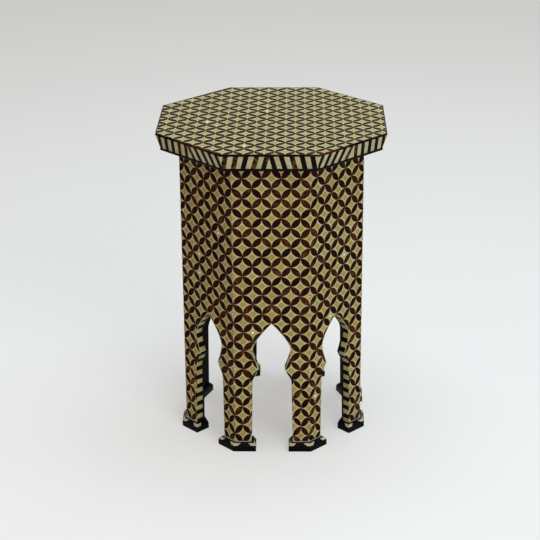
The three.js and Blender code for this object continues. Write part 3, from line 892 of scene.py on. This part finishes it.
def friezeStrips(strays):
    # (outline, dark) for one side, laid out on the leaning face with its foot at zero
    lowHalf = frieze["lowApothem"] * cornerSlope - frieze["endGap"]
    highHalf = frieze["highApothem"] * cornerSlope - frieze["endGap"]
    half, joint, beyond = frieze["stripeHalf"], frieze["joint"], frieze["beyond"]
    lows, highs = (sorted([strays[0] - x for x in frieze[name]] + [strays[1] + x for x in frieze[name]])
                   for name in ("lowPlaces", "highPlaces"))
    edges = [(-lowHalf - beyond, -highHalf - beyond)]
    for low, high in zip(lows, highs):
        edges += [(low - half, high - half), (low + half, high + half)]
    edges.append((lowHalf + beyond, highHalf + beyond))
    lean = (highHalf - lowHalf) / friezeSlope
    strips = []
    for index, (left, right) in enumerate(zip(edges, edges[1:])):
        outline = [(left[0] + joint, 0.0), (right[0] - joint, 0.0),
                   (right[1] - joint, friezeSlope), (left[1] + joint, friezeSlope)]
        for sign in (-1, 1):
            outline = keepOnSide(outline, (sign, -lean), lowHalf)
        if len(outline) > 2:
            strips.append((outline, index % 2 == 1))
    return strips


def friezeMatrix(side):
    # across, up the leaning face and out of it
    up = (0, -friezeRun / friezeSlope, friezeRise / friezeSlope)
    out = (0, -friezeRise / friezeSlope, -friezeRun / friezeSlope)
    foot = (0, -frieze["lowApothem"] * mm, frieze["lowHeight"] * mm)
    return sideTurn(side) @ axesMatrix(((1, 0, 0), up, out), foot)


def friezeCore(side):
    # the board behind the strips, its leaning face set back by the recess
    back = frieze["recess"] * friezeSlope / friezeRise
    section = [(frieze["lowApothem"] - back, frieze["lowHeight"]),
               (frieze["highApothem"] - back, frieze["highHeight"]),
               (frieze["rebateApothem"], frieze["highHeight"]),
               (frieze["rebateApothem"], frieze["rebateHeight"]),
               (frieze["innerApothem"], frieze["rebateHeight"]),
               (frieze["innerApothem"], frieze["lowHeight"])]
    mesh = bmesh.new()
    ends = []
    for sign in (-1, 1):
        ends.append([mesh.verts.new((sign * (out * cornerSlope - frieze["mitreGap"]) * mm, -out * mm, z * mm))
                     for out, z in section])
    joinRings(mesh, ends)
    bmesh.ops.recalc_face_normals(mesh, faces=mesh.faces)
    return placePiece(finishMesh(mesh, f"friezeCore_{side + 1}", putty), sideTurn(side))


def stripPiece(name, strips, cut, material, place):
    # one mesh of inlaid strips, each an outline and its tint; cut is their top, depth and chamfer
    mesh = bmesh.new()
    tints = []
    for outline, tint in strips:
        before = len(mesh.verts)
        addTile(mesh, outline, *cut)
        tints += [tint] * (len(mesh.verts) - before)
    piece = finishMesh(mesh, name, material)
    attribute = piece.data.attributes.new("tint", "FLOAT", "POINT")
    attribute.data.foreach_set("value", tints)
    return placePiece(piece, place)


friezeCut = (0.0, frieze["depth"], frieze["chamfer"])
for side in range(stool["sides"]):
    number = side + 1
    sheet, mirrored = sideWander[side]
    strays = frieze["strays"][sheet]
    cuts = friezeStrips((-strays[1], -strays[0]) if mirrored else strays)
    chance = random.Random(frieze["seed"] + number)
    ridePiece(friezeCore(side), "board_wood", f"frieze_rail_{number}")
    for dark, name, material in ((False, "friezeBone", paleBone), (True, "friezeShell", stripShell)):
        strips = []
        for outline in (outline for outline, isDark in cuts if isDark == dark):
            tint = chance.random()
            if dark and len(strips) in frieze["mottled"][side]:
                tint = frieze["amberTint"] + frieze["amberSpread"] * tint
            elif dark:
                tint = frieze["plainTint"]
            strips.append((outline, tint))
        piece = stripPiece(f"{name}_{number}", strips, friezeCut, material, friezeMatrix(side))
        ridePiece(piece, "tortoiseshell_inlay" if dark else "bone_inlay")
print("frieze laid, strips a side:", len(cuts))


# Striped lining of the arches

lining = {"stripLength": 9.1, "joint": 0.06, "front": -0.5, "back": -13.3,
          "shy": 0.05,      # how much thinner the strips are than the gap that they fill
          "plainTint": -0.6, "seed": 600}


def alongOutline(outline):
    # each corner's distance along an outline
    lengths = [0.0]
    for a, b in zip(outline, outline[1:]):
        lengths.append(lengths[-1] + math.dist(a, b))
    return lengths


def cutOutline(outline, lengths, start, end):
    # the part of an outline between two distances along it
    def at(distance):
        for i in range(len(outline) - 1):
            if lengths[i + 1] >= distance:
                share = (distance - lengths[i]) / (lengths[i + 1] - lengths[i])
                return tuple(Vector(outline[i]).lerp(Vector(outline[i + 1]), share))
        return outline[-1]
    between = [corner for corner, length in zip(outline, lengths) if start < length < end]
    return [at(start), *between, at(end)]


def liningStrips():
    # (outline, dark) for each strip of one arch; the same stations cut its inner and outer line
    lengths = alongOutline(openArch)
    # an even count, so that one leg ends in bone and the other in black
    count = 2 * round(lengths[-1] / lining["stripLength"] / 2)
    step = lengths[-1] / count
    outerLine = widened(openArch, stool["liningThickness"] - lining["shy"])
    found = []
    for index in range(count):
        start, end = index * step + lining["joint"], (index + 1) * step - lining["joint"]
        inner = cutOutline(openArch, lengths, start, end)
        outer = cutOutline(outerLine, lengths, start, end)
        found.append((outer + inner[::-1], index % 2 == 1))
    return found


liningCuts = liningStrips()
liningCut = (lining["front"], lining["front"] - lining["back"], 0.0)
for side in range(stool["sides"]):
    number = side + 1
    chance = random.Random(lining["seed"] + number)
    for dark, name, material in ((False, "liningBone", bone), (True, "liningShell", stripShell)):
        strips = []
        for outline in (outline for outline, isDark in liningCuts if isDark == dark):
            tint = chance.random()
            strips.append((outline, lining["plainTint"] if dark else tint))
        piece = stripPiece(f"{name}_{number}", strips, liningCut, material, faceMatrix(side))
        if dark:
            ridePiece(piece, "tortoiseshell_inlay")
        else:
            ridePiece(piece, "bone_inlay", f"arch_lining_{number}")
print("arch linings laid, strips a side:", len(liningCuts))


# Bone corners let into the feet's bevels

footBone = {
    "soleApothem": 168.2, "crownApothem": 164.0, "bevelLow": 11.0, "bevelHigh": 16.0,
    "soleEnd": 29.5, "crownEnd": 34.5,
    # how far the corner, end and return plates reach along the bevels, at their upper and lower edges
    "cornerHigh": 11.5, "cornerLow": 6.4, "endHigh": 9.9, "endLow": 9.2, "returnHigh": 9.5, "returnLow": 8.0,
    "reach": 0.77,          # share of the bevel's height that the bone covers, above a thin black edge
    "proud": 0.12, "depth": 0.9, "chamfer": 0.1,
}
bevelRun = footBone["soleApothem"] - footBone["crownApothem"]
bevelRise = footBone["bevelHigh"] - footBone["bevelLow"]
bevelSlope = math.hypot(bevelRun, bevelRise)


def bevelMatrix(side, towards):
    # across, up the bevel and out of it, for a foot's outer bevel, or for its end bevel where towards
    # is 1 or -1
    if towards == 0:
        up, out = (0, bevelRun, bevelRise), (0, -bevelRise, bevelRun)
    else:
        up, out = (towards * bevelRun, 0, bevelRise), (-towards * bevelRise, 0, bevelRun)
    up, out = Vector(up) / bevelSlope, Vector(out) / bevelSlope
    origin = (towards * footBone["soleEnd"] * mm, -footBone["soleApothem"] * mm, footBone["bevelLow"] * mm)
    return sideTurn(side) @ axesMatrix((up.cross(out), up, out), origin)


def addPlate(mesh, outline, flip, matrix):
    if flip:
        outline = [(-x, y) for x, y in reversed(outline)]
    before = len(mesh.verts)
    addTile(mesh, outline, footBone["proud"], footBone["depth"], footBone["chamfer"])
    mesh.verts.ensure_lookup_table()
    bmesh.ops.transform(mesh, matrix=matrix, verts=mesh.verts[before:])


def footPlates(mesh, side, sign):
    # the plates on one wing of a foot; sign says on which half of the side it stands
    reach, soleEnd = footBone["reach"], footBone["soleEnd"]
    inward, slope = bevelRun * reach, bevelSlope * reach
    lowCorner = footBone["soleApothem"] * cornerSlope
    highCorner = (footBone["soleApothem"] - inward) * cornerSlope
    highEnd = soleEnd + (footBone["crownEnd"] - soleEnd) * reach
    corner = [(lowCorner - footBone["cornerLow"], 0), (lowCorner, 0),
              (highCorner, slope), (highCorner - footBone["cornerHigh"], slope)]
    end = [(soleEnd, 0), (soleEnd + footBone["endLow"], 0),
           (highEnd + footBone["endHigh"], slope), (highEnd, slope)]
    back = [(0, 0), (footBone["returnLow"], 0), (footBone["returnHigh"] + inward, slope), (inward, slope)]
    addPlate(mesh, corner, sign < 0, bevelMatrix(side, 0))
    addPlate(mesh, end, sign < 0, bevelMatrix(side, 0))
    addPlate(mesh, back, sign > 0, bevelMatrix(side, sign))


# a glossy quarter-round of lacquer along the legs' feet, where the inlay stops, rooted in the leg
bead = {"low": 16.05, "radius": 1.5, "root": 0.6, "steps": 5}


def footBead(side):
    # from a leg's end to its corner, and on to its end on the next side
    arc = arcBetween((0.0, 0.0), bead["radius"], 0.0, math.pi / 2, bead["steps"])
    profile = [(-bead["root"], 0.0), *arc, (-bead["root"], bead["radius"])]
    mesh = bmesh.new()
    rings = []
    for where, towards in ((side, 1), (side, 0), (side + 1, -1)):
        ring = []
        for out, up in profile:
            apothem = stool["bodyApothem"] + out
            across = towards * arch["footHalf"] if towards else apothem * cornerSlope
            point = Vector((across * mm, -apothem * mm, (bead["low"] + up) * mm))
            ring.append(mesh.verts.new(sideTurn(where) @ point))
        rings.append(ring)
    joinRings(mesh, rings)
    bmesh.ops.recalc_face_normals(mesh, faces=mesh.faces)
    return finishMesh(mesh, f"footBead_{side + 1}", wetLacquer)


for side in range(stool["sides"]):
    ridePiece(footBead(side), "black_lacquer")
    mesh = bmesh.new()
    footPlates(mesh, side, 1)
    footPlates(mesh, (side + 1) % stool["sides"], -1)
    ridePiece(finishMesh(mesh, f"footBone_{side + 1}", paleBone), "bone_inlay")
print("feet dressed")

for spare in (diamondTile, bodyStar, topStar, petalTile, bodyCutter, topCutter):
    bpy.data.objects.remove(spare)


# Studio, in metres and watts

studio = {
    "floorColour": "#DCDAD6", "floorFleck": "#DEDCD8", "fleckMm": 333, "floorSize": 40.0,
    "floorDrop": 0.0003,    # the floor lies a hair below the feet
    "backdrop": "#F0EFED", "backdropShare": 0.5,
    "sky": "#FFF3D4", "skyStrength": 0.18,
    "key": {"place": (1.5, -3.05, 1.9), "size": 2.4, "power": 100, "colour": "#F8FBFF"},
    "overhead": {"place": (0.3, 0.2, 3.2), "size": 2.6, "power": 114, "colour": "#E0F1FF"},
    "warmFill": {"place": (-2.8, -1.6, 1.0), "size": 2.0, "power": 13, "colour": "#FFAA55"},
    "target": (0.0, 0.0, 0.28),
}


def areaLight(name, values):
    data = bpy.data.lights.new(name, "AREA")
    data.energy = values["power"]
    data.size = values["size"]
    data.color = linearColour(values["colour"])[:3]
    lamp = newObject(name, data)
    lamp.location = values["place"]
    aim = Vector(studio["target"]) - lamp.location
    lamp.rotation_euler = aim.to_track_quat("-Z", "Y").to_euler()


for name in ("key", "overhead", "warmFill"):
    areaLight(name, studio[name])


def seenDirectly(tree):
    # 1 for the camera, reflections and glass, 0 for the light that falls on the stool
    path = addNode(tree, "ShaderNodeLightPath").outputs
    both = addNode(tree, "ShaderNodeMath", {0: path["Is Camera Ray"], 1: path["Is Glossy Ray"]},
                   operation="ADD")
    seen = addNode(tree, "ShaderNodeMath", {0: both.outputs[0], 1: path["Is Transmission Ray"]},
                   operation="ADD", use_clamp=True)
    return seen.outputs[0]


def paleRoom():
    # a dim warm sky lights the stool, and a pale backdrop stands behind it
    world = bpy.data.worlds.new("paleRoom")
    bpy.context.scene.world = world
    world.use_nodes = True
    tree = world.node_tree
    sky = tree.nodes["Background"]
    sky.inputs["Color"].default_value = linearColour(studio["sky"])
    sky.inputs["Strength"].default_value = studio["skyStrength"]
    backdrop = addNode(tree, "ShaderNodeBackground", {"Color": linearColour(studio["backdrop"])})
    room = addNode(tree, "ShaderNodeMixShader",
                   {0: seenDirectly(tree), 1: sky.outputs[0], 2: backdrop.outputs[0]})
    tree.links.new(room.outputs[0], tree.nodes["World Output"].inputs["Surface"])


def paperFloor():
    # seamless matt paper: flat and pale, faintly cloudy, with a share of the backdrop's own brightness
    paper, tree, shader = newMaterial("paleSeamlessPaper", Roughness=0.9, IOR=1.3)
    place = addNode(tree, "ShaderNodeTexCoord").outputs["Object"]
    fleck = addNode(tree, "ShaderNodeTexNoise",
                    {"Vector": place, "Scale": 1 / (studio["fleckMm"] * mm), "Detail": 2.0})
    ramp = addNode(tree, "ShaderNodeValToRGB", {"Fac": fleck.outputs["Fac"]})
    fillRamp(ramp, [(0.3, studio["floorColour"]), (0.7, studio["floorFleck"])])
    feedShader(tree, shader, Base_Color=ramp.outputs[0])
    glow = addNode(tree, "ShaderNodeEmission", {"Color": linearColour(studio["backdrop"])})
    share = addNode(tree, "ShaderNodeMath", {0: seenDirectly(tree), 1: studio["backdropShare"]},
                    operation="MULTIPLY")
    mixed = addNode(tree, "ShaderNodeMixShader",
                    {0: share.outputs[0], 1: shader.outputs[0], 2: glow.outputs[0]})
    tree.links.new(mixed.outputs[0], tree.nodes["Material Output"].inputs["Surface"])
    mesh = bmesh.new()
    half = studio["floorSize"] / 2
    mesh.faces.new([mesh.verts.new((x * half, y * half, -studio["floorDrop"]))
                    for x, y in ((-1, -1), (1, -1), (1, 1), (-1, 1))])
    return finishMesh(mesh, "paperFloor", paper)


paleRoom()
paperFloor()

# the photo's camera, in metres and radians, its lens and sensor in millimetres
view = {"place": (0.0550, -2.7238, 1.4181), "yaw": -0.0222, "pitch": 0.394, "roll": -0.0073,
        "lens": 107.0, "sensor": 36.0, "farthest": 100}


def aimedCamera():
    yaw, pitch, roll = view["yaw"], view["pitch"], view["roll"]
    ahead = Vector((math.sin(yaw) * math.cos(pitch), math.cos(yaw) * math.cos(pitch), -math.sin(pitch)))
    right = Vector((math.cos(yaw), -math.sin(yaw), 0))
    up = right.cross(ahead)
    tiltedRight = math.cos(roll) * right + math.sin(roll) * up
    tiltedUp = -math.sin(roll) * right + math.cos(roll) * up
    data = bpy.data.cameras.new("photoCamera")
    data.lens, data.sensor_width, data.clip_end = view["lens"], view["sensor"], view["farthest"]
    camera = newObject("photoCamera", data)
    camera.matrix_world = axesMatrix((tiltedRight, tiltedUp, -ahead), view["place"])
    return camera


bpy.context.scene.camera = aimedCamera()
bpy.context.scene.view_settings.view_transform = "Standard"
print("studio set")
